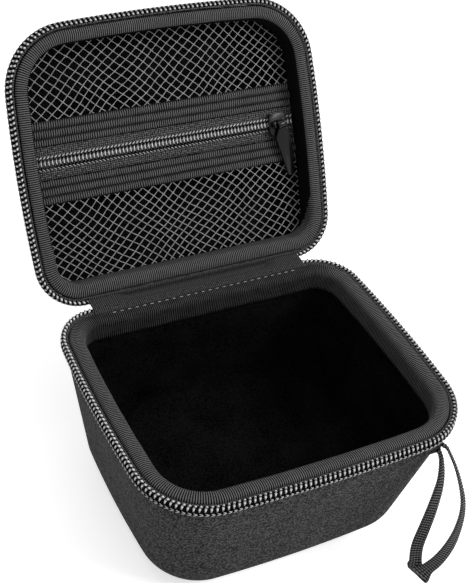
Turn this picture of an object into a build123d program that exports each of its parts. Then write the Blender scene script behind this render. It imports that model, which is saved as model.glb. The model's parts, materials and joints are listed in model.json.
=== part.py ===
from build123d import *
import math
import os

# A zip-up hard case for an electric shaver: a deep moulded base and a shallow lid, both of
# fabric-faced foam, joined along the back by a cloth hinge and round the other three sides by
# a coil zip. A zipped mesh pocket closes the hollow of the lid and a wrist strap hangs from
# the front right corner. Millimetres, +Z up, X along the hinge, +Y towards the hinge. The
# origin is in the flat underside, below the middle of the outline. The lid is drawn open.

os.makedirs("parts", exist_ok=True)

# ---- Outline of the closed case, at the outer edge of the main zip ----
case_width = 150.0
case_depth = 124.0
side_bow = 2.8
front_corner_radius = 30.0
back_corner_radius = 20.0
base_height = 74.0
lid_height = 26.0

# ---- Moulded shells ----
base_wall = 5.2
base_floor = 8.0
base_collar = 8.0
base_draft = 11.0
base_back_draft = 3.0
base_floor_corner = 26.0
base_edge_radius = 17.0
lid_wall = 3.5
lid_top = 2.5
lid_collar = 9.0
lid_draft = 3.0
lid_top_corner = 22.0
lid_edge_radius = 12.0
lining_thickness = 0.8
seat_drop = 3.6

# ---- Main zip and the bindings of the two rims ----
rim_gap = 0.4
coil_width = 2.4
coil_height = 4.6
tape_thickness = 0.8
tape_height = 5.8
tape_drop = 1.2
binding_drop = 0.5
base_leg_thickness = 1.0
lid_leg_thickness = 2.4
base_leg_depth = 11.0
binding_outer_round = 1.0
binding_inner_round = 2.4

# ---- Cloth hinge ----
hinge_offset = 1.0
hinge_drop = 2.0
lid_open_angle = 120.0
hinge_from_side = 36.0
hinge_coil_gap = 2.0
hinge_cloth = 0.6
fold_bead = 0.7
fold_clearance = 0.3
outer_cloth = 1.4
outer_cloth_depth = 11.5

# ---- Mesh pocket in the lid ----
pocket_depth = 11.4
pocket_zip_y = -1.6
pocket_mesh_thickness = 0.6
pocket_band_thickness = 1.0
pocket_band_width = 11.3
pocket_tape_thickness = 0.7
pocket_tape_width = 6.9
pocket_tape_gap = 0.4
pocket_coil_width = 3.65
pocket_coil_gap = 0.1
pocket_coil_height = 1.6

# ---- Zip sliders and their pullers ----
slider_clearance = 0.3
slider_plate = 1.2
slider_length = 9.0
flange_thickness = 1.0
flange_length = 6.6
bar_radius = 0.6
post_thickness = 1.0
post_gap = 4.6
knuckle_wall = 0.8
puller_thickness = 1.2
puller_length = 26.0
puller_width = 7.6
puller_tip_width = 3.4
pocket_slider_from_end = 9.6
pocket_puller_lean = 12.0
pocket_knuckle_slack = 0.4
main_plate_above = 1.5
main_plate_below = 6.0
main_bar_offset = 4.1

# ---- Wrist strap ----
strap_from_side = 24.0
strap_width = 6.0
strap_thickness = 1.2
anchor_width = 8.0
anchor_height = 4.5
anchor_front = 3.5
# Route in the plane x = strap_x, as (y, z), from the upper end round to the lower end.
strap_route = [
    (-57.5, 66.0),
    (-64.5, 65.7),
    (-72.5, 62.3),
    (-79.0, 55.5),
    (-82.0, 45.5),
    (-81.3, 29.5),
    (-77.6, 14.2),
    (-72.0, 0.6),
    (-64.6, 1.4),
    (-62.8, 9.6),
    (-64.6, 25.0),
    (-66.0, 43.0),
    (-65.0, 54.5),
    (-62.6, 61.6),
    (-57.5, 63.2),
]
arc_share = 0.45

# ---- Sizes that follow ----
shell_inset = coil_width + tape_thickness
half_gap = rim_gap / 2
base_lining_inset = shell_inset + base_wall
base_leg_outer = base_lining_inset + lining_thickness
base_leg_inner = base_leg_outer + base_leg_thickness
lid_lining_inset = shell_inset + lid_wall
lid_leg_outer = lid_lining_inset + lining_thickness
lid_leg_inner = lid_leg_outer + lid_leg_thickness
back_line = case_depth / 2
fold_y = back_line + hinge_offset
hinge_axis = Axis((0, fold_y, base_height - hinge_drop), (-1, 0, 0))
hinge_half_width = case_width / 2 - hinge_from_side
coil_end = hinge_half_width + hinge_coil_gap
pocket_slider_x = case_width / 2 - lid_leg_inner - pocket_slider_from_end
strap_x = case_width / 2 - strap_from_side
reach = case_width


def section(inset, back_inset=None, corner_radius=None):
    """Bowed, round-cornered outline of the case, drawn in by inset."""
    half_width = case_width / 2 - side_bow - inset
    front = side_bow + inset - case_depth / 2
    back = back_line - (inset if back_inset is None else back_inset)
    middle = (front + back) / 2
    edges = [
        ThreePointArc((-half_width, front), (0, front - side_bow), (half_width, front)),
        ThreePointArc((half_width, front), (half_width + side_bow, middle), (half_width, back)),
        Line((half_width, back), (-half_width, back)),
        ThreePointArc((-half_width, back), (-half_width - side_bow, middle), (-half_width, front)),
    ]
    front_radius = corner_radius or front_corner_radius - inset
    back_radius = corner_radius or back_corner_radius - inset
    face = make_face(edges)
    face = fillet(face.vertices().group_by(Axis.Y)[0], front_radius)
    return fillet(face.vertices().group_by(Axis.Y)[-1], back_radius)


def slab(inset, low, high):
    """The outline, drawn in by inset, from height low to height high."""
    return Pos(0, 0, low) * extrude(section(inset), amount=high - low)


def ring(outer_inset, inner_inset, low, high):
    """Closed band between two insets of the outline."""
    return slab(outer_inset, low, high) - slab(inner_inset, low, high)


def block(x_low, x_high, y_low, y_high, z_low, z_high):
    """Box between two corners."""
    size = Box(x_high - x_low, y_high - y_low, z_high - z_low)
    return Pos((x_low + x_high) / 2, (y_low + y_high) / 2, (z_low + z_high) / 2) * size


def tub(height, collar, draft, back_draft, floor_corner, edge_radius, shrink, rise):
    """Solid tub hanging from z = 0: straight collar, drafted walls, rounded floor edge."""
    mouth = section(shell_inset + shrink)
    slope = (height - collar - rise) / (height - collar)
    floor_inset = shell_inset + shrink + slope * draft
    back_inset = shell_inset + shrink + slope * back_draft
    floor = section(floor_inset, back_inset, floor_corner - shrink)
    straight = extrude(mouth, amount=-collar)
    walls = loft([Pos(0, 0, -collar) * mouth, Pos(0, 0, rise - height) * floor], ruled=True)
    body = straight + walls
    return fillet(body.faces().sort_by(Axis.Z)[0].edges(), edge_radius - shrink)


def base_tub(shrink, rise):
    """Outside or hollow of the base, hanging from the shell's seat."""
    height = base_height - seat_drop
    return tub(
        height, base_collar, base_draft, base_back_draft, base_floor_corner, base_edge_radius, shrink, rise
    )


def lid_tub(shrink, rise):
    """Outside or hollow of the lid, hanging from the shell's seat."""
    height = lid_height - seat_drop
    return tub(height, lid_collar, lid_draft, lid_draft, lid_top_corner, lid_edge_radius, shrink, rise)


def on_base(shape):
    """Lift a shape drawn below the rim plane, z = 0, onto the base."""
    return Pos(0, 0, base_height) * shape


def on_lid(shape):
    """Turn a shape drawn below the rim plane, z = 0, upside down onto the closed lid, then open it."""
    closed = Pos(0, 0, base_height) * mirror(shape, about=Plane.XY)
    return closed.rotate(hinge_axis, lid_open_angle)


def save(shape, node):
    """Write one sub-part."""
    export_step(shape, f"parts/{node}.step")


# ---- Rims: each is drawn below z = 0 and serves base and lid alike ----


def shell(tub_of, wall, floor):
    """Moulded foam shell with its seat below the rim plane."""
    return Pos(0, 0, -seat_drop) * (tub_of(0, 0) - tub_of(wall, floor))


def lining(tub_of, wall, floor):
    """Cloth skin that backs onto the inside of the shell."""
    hollow = tub_of(wall + lining_thickness, floor + lining_thickness)
    return Pos(0, 0, -seat_drop) * (tub_of(wall, floor) - hollow)


def binding(leg_outer, leg_inner, leg_depth):
    """Ribbed cap over the seat, with a leg down the inside of the lining."""
    cap = ring(shell_inset, leg_inner, -seat_drop, -binding_drop)
    top = cap.faces().sort_by(Axis.Z)[-1]
    cap = fillet(top.outer_wire().edges(), binding_outer_round)
    top = cap.faces().sort_by(Axis.Z)[-1]
    cap = fillet(top.inner_wires()[0].edges(), binding_inner_round)
    return cap + ring(leg_outer, leg_inner, -leg_depth, -seat_drop)


def zipper_tape():
    """Tape that carries the main coil round the whole rim."""
    return ring(coil_width, shell_inset, -tape_drop - tape_height, -tape_drop)


def zipper_coil():
    """One half of the main coil, open at the back between the hinge's ends."""
    whole = ring(0, coil_width, -half_gap - coil_height, -half_gap)
    return whole - block(-coil_end, coil_end, 0, reach, -base_height, 0)


def hinge_cloth_strip(y_low, y_high, z_low, z_high):
    """Piece of the hinge's cloth, as wide as the hinge."""
    return block(-hinge_half_width, hinge_half_width, y_low, y_high, z_low, z_high)


def hinge_inner_base_leaf():
    """Cloth from the base's binding over the tape and down to a stitched bead at the fold."""
    top = hinge_cloth - tape_drop
    half = hinge_cloth / 2
    flat = hinge_cloth_strip(back_line - shell_inset, fold_y + half, -tape_drop, top)
    drop = hinge_cloth_strip(fold_y - half, fold_y + half, -hinge_drop, top)
    bead = Pos(0, fold_y, -hinge_drop) * Rot(0, 90, 0) * Cylinder(fold_bead, 2 * hinge_half_width)
    return flat + drop + bead


def hinge_inner_lid_leaf():
    """Cloth from the lid's binding over the tape and round the outside of the fold's bead."""
    near = fold_y + fold_bead + fold_clearance
    flat = hinge_cloth_strip(back_line - shell_inset, near + hinge_cloth, -tape_drop, hinge_cloth - tape_drop)
    drop = hinge_cloth_strip(near, near + hinge_cloth, -tape_drop, hinge_drop - fold_clearance)
    return flat + drop


def hinge_outer_leaf():
    """Cloth over the outside of the tape and onto the shell."""
    tape_face = back_line - coil_width
    shell_face = back_line - shell_inset
    tape_low = -tape_drop - tape_height
    upper = hinge_cloth_strip(tape_face, tape_face + outer_cloth, tape_low, -tape_drop)
    lower = hinge_cloth_strip(shell_face, shell_face + outer_cloth, -outer_cloth_depth, tape_low)
    return upper + lower


# ---- Pocket: flat strips behind the lid's binding, drawn below z = 0 ----


def strip(y_low, y_high, thickness):
    """Strip of the pocket's face, cut to the lid's lining."""
    sheet = block(-reach, reach, y_low, y_high, -pocket_depth - thickness, -pocket_depth)
    return sheet & slab(lid_leg_outer, -lid_height, 0)


def pocket_coil(y_low, y_high):
    """One half of the pocket's coil, between the binding's legs."""
    coil = block(-reach, reach, y_low, y_high, -pocket_depth, pocket_coil_height - pocket_depth)
    return coil & slab(lid_leg_inner, -lid_height, 0)


def pocket_side(side):
    """Tape, coil, band and mesh on one side of the pocket zip; side is -1 above, 1 below."""
    tape_near = pocket_zip_y + side * pocket_tape_gap / 2
    tape_far = tape_near + side * pocket_tape_width
    coil_near = pocket_zip_y + side * pocket_coil_gap / 2
    coil_far = coil_near + side * pocket_coil_width
    band_far = tape_far + side * pocket_band_width
    mesh_far = side * reach
    return {
        "zip_tape": strip(min(tape_near, tape_far), max(tape_near, tape_far), pocket_tape_thickness),
        "zip_coil": pocket_coil(min(coil_near, coil_far), max(coil_near, coil_far)),
        "band": strip(min(tape_far, band_far), max(tape_far, band_far), pocket_band_thickness),
        "mesh": strip(min(band_far, mesh_far), max(band_far, mesh_far), pocket_mesh_thickness),
    }


# ---- Sliders: drawn with the coil's outer face at z = 0, the zip along X ----


def knuckle_bore(slack):
    """Radius of the eye that turns on the slider's bar."""
    return bar_radius + slider_clearance + slack


def bar_height(slack):
    """Height of the slider's bar over the coil."""
    return 2 * slider_clearance + slider_plate + knuckle_bore(slack) + knuckle_wall


def slider(y_low, y_high, flanges, flange_depth, bar_y, slack):
    """Plate over the coil, flanges beside it, and a bar on two posts for the puller."""
    plate_top = slider_clearance + slider_plate
    half = slider_length / 2
    plate = block(-half, half, y_low, y_high, slider_clearance, plate_top)
    corner = min(y_high - y_low, slider_length) / 4
    body = fillet(plate.edges().filter_by(Axis.Z), corner)
    for low in flanges:
        half = flange_length / 2
        body += block(-half, half, low, low + flange_thickness, -flange_depth, plate_top)
    bar_z = bar_height(slack)
    inner = post_gap / 2
    outer = inner + post_thickness
    side = 2 * bar_radius
    for x_low, x_high in ((-outer, -inner), (inner, outer)):
        body += block(x_low, x_high, bar_y - side, bar_y + side, plate_top, bar_z + bar_radius)
    bar = Pos(0, bar_y, bar_z) * Rot(0, 90, 0) * Cylinder(bar_radius, 2 * outer)
    return body + bar


def puller(slack, lean, tilt):
    """Tapered tab with an eye round the bar; the bar's axis is X through the origin."""
    bore = knuckle_bore(slack)
    knuckle = bore + knuckle_wall
    length = post_gap - 2 * slider_clearance - 2 * knuckle * math.sin(math.radians(lean))
    shoulder = knuckle + puller_width / 2
    half = puller_width / 2
    tip = puller_tip_width / 2
    right = [(length / 2, bore), (length / 2, knuckle), (half, shoulder), (tip, puller_length)]
    left = [(-x, y) for x, y in reversed(right)]
    tab = make_face(Polyline(*right, *left, close=True))
    tab = fillet(tab.vertices().group_by(Axis.Y)[-1], 0.9 * tip)
    body = Pos(0, 0, -puller_thickness / 2) * extrude(tab, amount=puller_thickness)
    body += Rot(0, 90, 0) * Cylinder(knuckle, length)
    body -= Rot(0, 90, 0) * Cylinder(bore, case_width)
    return Rot(-tilt, 0, 0) * Rot(0, 0, -lean) * body


def pocket_place():
    """Middle of the slider's place on the closed pocket coil, below the rim plane."""
    return Pos(pocket_slider_x, pocket_zip_y, pocket_coil_height - pocket_depth)


def pocket_slider():
    """Slider of the pocket zip, with a flange on each side of the coil."""
    coil_half = pocket_coil_width + pocket_coil_gap / 2 + slider_clearance
    plate_half = coil_half + flange_thickness
    depth = pocket_coil_height - slider_clearance
    flanges = (-plate_half, coil_half)
    return pocket_place() * slider(-plate_half, plate_half, flanges, depth, 0, pocket_knuckle_slack)


def pocket_puller():
    """Puller of the pocket zip, leaning towards the end wall with its tip on the pocket."""
    height = bar_height(pocket_knuckle_slack)
    drop = height + pocket_coil_height - puller_thickness / 2 - slider_clearance
    tilt = math.degrees(math.asin(drop / (puller_length + puller_thickness)))
    tab = puller(pocket_knuckle_slack, pocket_puller_lean, tilt)
    return pocket_place() * Pos(0, 0, height) * tab


def main_place(side):
    """Parked place of a main slider, on the coil's end behind the base."""
    x = side * (coil_end + slider_length / 2 + slider_clearance)
    return Pos(x, back_line, -half_gap - coil_height / 2) * Rot(-90, 0, 0)


def main_slider(side):
    """Main slider: a plate outside the coil and a flange below it."""
    flange = coil_height / 2 + slider_clearance
    depth = coil_width - slider_clearance
    body = slider(-main_plate_above, main_plate_below, (flange,), depth, main_bar_offset, 0)
    return main_place(side) * body


def main_puller(side):
    """Puller that hangs down behind the base from a main slider."""
    return main_place(side) * Pos(0, main_bar_offset, bar_height(0)) * puller(0, 0, 0)


# ---- Wrist strap ----


def strap_anchor():
    """Stitched tab on the shell below the tape, from which both ends of the strap leave."""
    half = anchor_width / 2
    high = base_height - tape_drop - tape_height
    tab = block(
        strap_x - half, strap_x + half, anchor_front - case_depth / 2, 0, high - anchor_height, high
    )
    return tab - slab(shell_inset, 0, base_height)


def strap_radii():
    """Largest tangent arc at each bend that its two runs allow."""
    radii = []
    for before, here, after in zip(strap_route, strap_route[1:], strap_route[2:]):
        arriving = Vector(*here) - Vector(*before)
        leaving = Vector(*after) - Vector(*here)
        shorter = min(arriving.length, leaving.length)
        radii.append(arc_share * shorter / math.tan(math.radians(arriving.get_angle(leaving) / 2)))
    return radii


def wrist_strap():
    """Flat webbing, swept along the route in its own upright plane."""
    points = [(strap_x, y, z) for y, z in strap_route]
    path = FilletPolyline(*points, radius=strap_radii())
    start = Plane(origin=path @ 0, x_dir=(1, 0, 0), z_dir=path % 0)
    return sweep(start * Rectangle(strap_width, strap_thickness), path=path)


save(on_base(shell(base_tub, base_wall, base_floor)), "base_shell")
save(on_base(lining(base_tub, base_wall, base_floor)), "base_lining")
save(on_base(binding(base_leg_outer, base_leg_inner, base_leg_depth)), "base_binding")
save(on_base(zipper_tape()), "base_zipper_tape")
save(on_base(zipper_coil()), "base_zipper_coil")
save(on_base(hinge_inner_base_leaf()), "hinge_inner_base_leaf")
save(on_base(hinge_outer_leaf()), "hinge_outer_base_leaf")

save(on_lid(shell(lid_tub, lid_wall, lid_top)), "lid_shell")
save(on_lid(lining(lid_tub, lid_wall, lid_top)), "lid_lining")
save(on_lid(binding(lid_leg_outer, lid_leg_inner, pocket_depth)), "lid_binding")
save(on_lid(zipper_tape()), "lid_zipper_tape")
save(on_lid(zipper_coil()), "lid_zipper_coil")
save(on_lid(hinge_inner_lid_leaf()), "hinge_inner_lid_leaf")
save(on_lid(hinge_outer_leaf()), "hinge_outer_lid_leaf")

for name, side in (("upper", -1), ("lower", 1)):
    for piece, shape in pocket_side(side).items():
        save(on_lid(shape), f"pocket_{name}_{piece}")
save(on_lid(pocket_slider()), "pocket_slider")
save(on_lid(pocket_puller()), "pocket_puller")

for name, side in (("left", -1), ("right", 1)):
    save(on_base(main_slider(side)), f"{name}_slider")
    save(on_base(main_puller(side)), f"{name}_puller")

save(strap_anchor(), "strap_anchor")
save(wrist_strap(), "wrist_strap")
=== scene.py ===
"""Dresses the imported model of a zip-up case for an electric shaver, and sets its stage."""

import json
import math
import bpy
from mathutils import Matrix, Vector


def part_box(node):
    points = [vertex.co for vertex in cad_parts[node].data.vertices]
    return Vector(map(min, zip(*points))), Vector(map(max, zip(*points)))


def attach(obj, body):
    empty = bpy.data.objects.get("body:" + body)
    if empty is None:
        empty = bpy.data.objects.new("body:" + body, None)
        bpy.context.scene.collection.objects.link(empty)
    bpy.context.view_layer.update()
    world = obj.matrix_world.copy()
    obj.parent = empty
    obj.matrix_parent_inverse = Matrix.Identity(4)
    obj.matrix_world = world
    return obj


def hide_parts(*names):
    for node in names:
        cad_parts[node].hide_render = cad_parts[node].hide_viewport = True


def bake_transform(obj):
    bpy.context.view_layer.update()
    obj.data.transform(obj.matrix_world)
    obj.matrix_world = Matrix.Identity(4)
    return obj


bl_info = {
    "name": "Shaver case",
    "version": (1, 0, 0),
    "blender": (4, 5, 0),
    "location": "View3D > Sidebar > Case",
    "description": "Cloth, bindings, zips, net pocket and wrist strap of a hard travel case",
    "category": "Add Mesh",
}

import bmesh
import bpy
from bpy.props import FloatProperty, FloatVectorProperty, PointerProperty
from mathutils import Matrix, Vector, geometry, noise

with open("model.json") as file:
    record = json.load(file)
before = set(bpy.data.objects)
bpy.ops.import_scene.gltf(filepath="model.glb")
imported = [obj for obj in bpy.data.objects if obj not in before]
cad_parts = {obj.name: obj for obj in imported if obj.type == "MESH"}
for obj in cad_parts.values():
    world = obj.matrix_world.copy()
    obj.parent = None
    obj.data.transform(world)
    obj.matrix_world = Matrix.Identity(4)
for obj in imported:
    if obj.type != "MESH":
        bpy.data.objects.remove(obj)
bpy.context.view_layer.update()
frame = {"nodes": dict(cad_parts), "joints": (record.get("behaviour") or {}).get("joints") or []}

MM = 0.001
SEAM = 1e-4

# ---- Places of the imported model, in millimetres ----


def low_corner(node):
    """Lowest corner of a CAD node, to a tenth of a millimetre."""
    return Vector([round(value / MM, 1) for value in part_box(node)[0]])


def high_corner(node):
    """Highest corner of a CAD node, to a tenth of a millimetre."""
    return Vector([round(value / MM, 1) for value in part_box(node)[1]])


HINGE = next(joint for joint in frame["joints"] if joint["name"] == "lid_hinge")
HINGE_POINT = Vector(HINGE["pos_m"]) / MM
LID_ANGLE = math.radians(HINGE["range_deg"][1] - HINGE["range_deg"][0])

RIM_GAP = 0.4
BOW = 2.8
FRONT_CORNER = 30.0
BACK_CORNER = 20.0
HALF_WIDTH = high_corner("base_zipper_coil").x
FRONT = low_corner("base_zipper_coil").y
RIM = high_corner("base_zipper_coil").z + RIM_GAP / 2
TAPE_INSET = HALF_WIDTH - high_corner("base_zipper_tape").x
SHELL_INSET = HALF_WIDTH - high_corner("base_binding").x
LINING_INSET = HALF_WIDTH - high_corner("base_lining").x
LID_LINING_INSET = HALF_WIDTH - high_corner("lid_lining").x
BACK = high_corner("base_zipper_tape").y + TAPE_INSET
LINING = 0.8
BASE_LEG = 1.0
LID_LEG = 2.4
BINDING_DROP = RIM - high_corner("base_binding").z
BASE_LEG_DEPTH = RIM - low_corner("base_binding").z
SEAT_DROP = RIM - high_corner("base_shell").z
BINDING_GROOVE = 0.8
# Painted shade on the back of the base's binding, where the open lid shades it.
PAINTED_BACK_SHADE = 0.22
WALL_END = 1.4 * BACK_CORNER
WALL_SLOPE = 0.5
TAPE_TOP = RIM - high_corner("base_zipper_tape").z
TAPE_FOOT = RIM - low_corner("base_zipper_tape").z
COIL_FOOT = RIM - low_corner("base_zipper_coil").z
MAIN_COIL_HEIGHT = 3.0
LOOP_DEPTH_POWER = 0.7
LOOP_HEIGHT_POWER = 0.8
LOOP_LEAN = 0.85
# Sharpness of the painted highlights on each turn of the main coil's wire.
LOOP_HIGHLIGHT_POWER = 1.2
CHEVRON = (((0.05, -3.2), (0.75, -3.85)), ((0.75, -3.95), (0.05, -4.6)))
CHEVRON_INSET = 0.25
CHEVRON_WIDTH = 0.5
HINGE_HALF = high_corner("hinge_outer_base_leaf").x
INNER_CLOTH_HALF = HINGE_HALF + 14.0
OUTER_CLOTH_HALF = HINGE_HALF + 5.0
CLOTH_END_LAP, CLOTH_END_RUN = 7, 9
COIL_END = HINGE_HALF + 2.0
OUTER_CLOTH = high_corner("hinge_outer_base_leaf").y - BACK + TAPE_INSET
OUTER_CLOTH_DEPTH = RIM - low_corner("hinge_outer_base_leaf").z

POCKET_DEPTH = 11.4
POCKET_ZIP_Y = -1.6
POCKET_TAPE = 6.9
POCKET_BAND = 11.3
POCKET_COIL = 3.2
POCKET_COIL_HEIGHT = 1.6
POCKET_GAP = 0.2
NET_LAP = 0.8
NET_SEED = 1
NET_DRIFT, NET_DRIFT_REACH = 2.2, 26
NET_SHAKE, NET_SHAKE_REACH = 0.35, 7
NET_SAG, NET_SAG_REACH = 0.7, 22
NET_INSET = LID_LINING_INSET + 1.0
POCKET_SIDES = (("upper", -1), ("lower", 1))
# Per side: stitch width, tone along each turn (painted highlight on its head; the lower half darker as
# painted shade), and offset of the turns.
POCKET_COIL_LOOKS = {
    -1: (0.7, (0.0, 0.1, 0.9, 0.8, 0.0), 0.75),
    1: (0.4, (0.0, 0.0, 0.12, 0.16, 0.0), 0.25),
}

STRAP_X = (low_corner("strap_anchor").x + high_corner("strap_anchor").x) / 2
STRAP_THICKNESS = 1.2
STRAP_RIB_DEPTH = 0.3
STRAP_FOLD_RUN = 8
STRAP_SEWN_RUN = 2.5
STRAP_SEWN_SHARE = 0.4
STRAP_ROUTE = [
    Vector((STRAP_X + sway, y, z))
    for sway, y, z in (
        (3.3, -57.5, 67.0), (4.7, -60.4, 67.6), (4.2, -63.5, 67.1),
        (3.4, -70.0, 65.4), (2.6, -76.6, 61.1), (2.9, -81.0, 54.2),
        (3.5, -82.1, 42.3), (2.9, -81.7, 28.4), (0.4, -80.3, 17.4),
        (-2.2, -78.3, 10.6), (-4.9, -76.9, 4.8), (-5.6, -75.7, 7.5),
        (-5.2, -73.8, 9.8), (-5.6, -71.7, 19.5), (-3.5, -70.6, 28.7),
        (-1.8, -69.7, 38.0), (0.2, -68.0, 47.4), (1.7, -66.1, 53.9),
        (2.5, -63.3, 59.5), (2.1, -61.1, 64.6), (2.4, -57.5, 65.0),
    )
]
STRAP_FOLD = 10
STRAP_FOLD_LENGTH = 10.4
STRAP_FOLD_TURN = 43.0
STRAP_TWIST_DOWN = [(12, 15), (20, 25), (28, 35), (38, 50), (46, 58), (55, 67), (62, 74), (68, 82)]
STRAP_TWIST_UP = [(8, 15), (27, 24), (38, 33), (49, 46), (54, 56), (63, 70), (67, 80)]

CAMERA_AZIMUTH = -32.18
CAMERA_ELEVATION = 39.71
CAMERA_ROLL = 8.61
CAMERA_DISTANCE = 551.92
CAMERA_TARGET = Vector((11.23, 50.92, 74.0))
CAMERA_LENS = 74.94

WHITE = (1.0, 1.0, 1.0, 1.0)
FLOOR_GLOW = 0.6
SKY_LIGHT = 0.43
LAMP_TARGET = Vector((0, 0.03, 0.08))
LAMPS = (
    ("key_lamp", (0.75, -0.75, 1.05), 0.6, 12.0),
    ("fill_lamp", (-1.0, -0.7, 0.7), 0.8, 0.5),
    ("top_lamp", (-0.1, 0.4, 1.4), 0.9, 4.0),
)


def length_property(name, description, default, low, high):
    """Length setting with its default and limits in millimetres."""
    return FloatProperty(
        name=name, description=description, unit="LENGTH", precision=5,
        default=default * MM, min=low * MM, max=high * MM,
    )


class CaseSizes(bpy.types.PropertyGroup):
    """Sizes of the trims that are made here."""

    rib_pitch: length_property("Rib pitch", "Spacing of the ribs of bindings and hinge", 0.94, 0.4, 3)
    rib_height: length_property("Rib height", "Height of the ribs of bindings and hinge", 0.3, 0, 0.5)
    band_pitch: length_property("Pocket rib pitch", "Spacing of the pocket bands' ribs", 1.08, 0.4, 3)
    coil_pitch: length_property("Main zip pitch", "Spacing of the turns of the main zip's coil", 2.2, 1, 4)
    coil_wire: length_property("Main zip wire", "Thickness of the main zip's nylon wire", 0.95, 0.3, 1.2)
    pocket_pitch: length_property("Pocket zip pitch", "Spacing of the pocket zip's teeth", 1.76, 1, 4)
    net_cell: length_property("Net cell", "Width of a diamond of the pocket's net", 5.2, 2, 10)
    net_thread: length_property("Net thread", "Thickness of the pocket net's threads", 0.36, 0.1, 1)
    strap_width: length_property("Strap width", "Width of the wrist strap's webbing", 6, 3, 8)
    strap_rib: length_property("Strap rib pitch", "Spacing of the cross ribs of the webbing", 1.3, 0.4, 3)


def colour_property(name, description, grey, warm=0.0):
    """Colour setting with a grey default, a little warm or cool."""
    default = (grey * (1 + warm), grey, grey * (1 - warm))
    return FloatVectorProperty(
        name=name, description=description, subtype="COLOR", size=3, min=0.0, max=1.0, default=default
    )


class CaseColours(bpy.types.PropertyGroup):
    """Colours of the case's cloths, threads and metal."""

    shell: colour_property("Shell cloth", "Woven cloth on the outside of the shells", 0.038)
    lining: colour_property("Lining", "Brushed cloth inside the shells", 0.0045)
    binding: colour_property("Ribbed cloth", "Ribs of the bindings, hinge and pocket bands", 0.1)
    # Darker than the bindings: painted shade of the hinge under the open lid.
    hinge: colour_property("Hinge cloth", "Ribbed cloth that joins the shells", 0.035)
    # Near black: painted shade on the lid's inner wall.
    wall: colour_property("Inner wall", "Smooth cloth inside the lid's binding", 0.005)
    tape: colour_property("Zip tape", "Woven tape of the zips", 0.07)
    # Light grey: painted highlights on the black nylon wire.
    coil: colour_property("Zip coil", "Nylon wire of the zips", 0.36)
    stitch: colour_property("Stitching", "Thread that sews the coil and the seams", 0.5)
    net: colour_property("Net", "Threads of the pocket's net", 0.29)
    metal: colour_property("Slider metal", "Painted metal of the sliders and pullers", 0.005)
    webbing: colour_property("Webbing", "Ribbed webbing of the wrist strap", 0.09)
    backdrop: colour_property("Backdrop", "Floor under the case", 0.9)


def sizes():
    """The scene's sizes."""
    return bpy.context.scene.case_sizes


def colours():
    """The scene's colours."""
    return bpy.context.scene.case_colours


# ---- The case's plan line ----


class Outline:
    """Plan line of the case at an inset, walked anticlockwise from the middle of the back."""

    def __init__(self, inset=0.0):
        corner_y = FRONT + BOW
        half_side = (BACK - corner_y) / 2
        middle = (BACK + corner_y) / 2
        corner_x = HALF_WIDTH - BOW
        side_radius = (half_side**2 + BOW**2) / (2 * BOW)
        front_radius = (corner_x**2 + BOW**2) / (2 * BOW)
        self.inset = inset
        self.side = Vector((HALF_WIDTH - side_radius, middle))
        self.side_radius = side_radius - inset
        front = Vector((0, FRONT + front_radius))
        near = Vector((corner_x, corner_y))
        crossings = geometry.intersect_sphere_sphere_2d(
            front, front_radius - FRONT_CORNER, self.side, side_radius - FRONT_CORNER
        )
        self.front_corner = min(crossings, key=lambda point: (point - near).length)
        self.front_radius = FRONT_CORNER - inset
        back_y = BACK - BACK_CORNER
        reach = math.sqrt((side_radius - BACK_CORNER) ** 2 - (back_y - middle) ** 2)
        self.back_corner = Vector((self.side.x + reach, back_y))
        self.back_radius = BACK_CORNER - inset
        self.back_turn = self.angle(self.side, self.back_corner)
        self.side_turn = self.angle(self.side, self.front_corner)
        front_turn = self.angle(front, self.front_corner)
        half = [
            (front, front_radius - inset, -math.pi / 2, front_turn),
            (self.front_corner, self.front_radius, front_turn, self.side_turn),
            (self.side, self.side_radius, self.side_turn, self.back_turn),
            (self.back_corner, self.back_radius, self.back_turn, math.pi / 2),
        ]
        other = [
            (Vector((-c.x, c.y)), radius, math.pi - end, math.pi - start)
            for c, radius, start, end in reversed(half)
        ]
        self.arcs = other + half
        self.flat = self.back_corner.x
        lengths = [radius * (end - start) for _, radius, start, end in self.arcs]
        self.lengths = [self.flat] + lengths + [self.flat]
        self.length = sum(self.lengths)

    @staticmethod
    def angle(start, end):
        """Direction from one point to another."""
        return math.atan2(end.y - start.y, end.x - start.x)

    def at(self, distance):
        """Point at a distance along the line, and the outward direction there."""
        distance %= self.length
        if distance < self.flat:
            return Vector((-distance, BACK - self.inset)), Vector((0, 1))
        if distance > self.length - self.flat:
            return Vector((self.length - distance, BACK - self.inset)), Vector((0, 1))
        distance -= self.flat
        for (centre, radius, start, end), length in zip(self.arcs, self.lengths[1:]):
            if distance <= length:
                break
            distance -= length
        turn = start + distance / radius
        outward = Vector((math.cos(turn), math.sin(turn)))
        return centre + radius * outward, outward

    def half_width(self, y):
        """Half the width between the sides at a place y."""
        if y < self.front_corner.y + self.front_radius * math.sin(self.side_turn):
            centre, radius = self.front_corner, self.front_radius
        elif y > self.back_corner.y + self.back_radius * math.sin(self.back_turn):
            centre, radius = self.back_corner, self.back_radius
        else:
            centre, radius = self.side, self.side_radius
        return centre.x + math.sqrt(max(0.0, radius**2 - (y - centre.y) ** 2))


# ---- Mesh helpers; shapes are drawn in millimetres, with the rim plane at z = 0 ----


def rim_place(body):
    """From a rim drawing to the base, or to the open lid: upside down on the base, then turned open."""
    on_base = Matrix.Translation((0, 0, RIM))
    if body == "base":
        return on_base
    turn = Matrix.Rotation(LID_ANGLE, 4, Vector(HINGE["axis"]))
    about = Matrix.Translation(HINGE_POINT) @ turn @ Matrix.Translation(-HINGE_POINT)
    return about @ on_base @ Matrix.Scale(-1, 4, Vector((0, 0, 1)))


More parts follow.
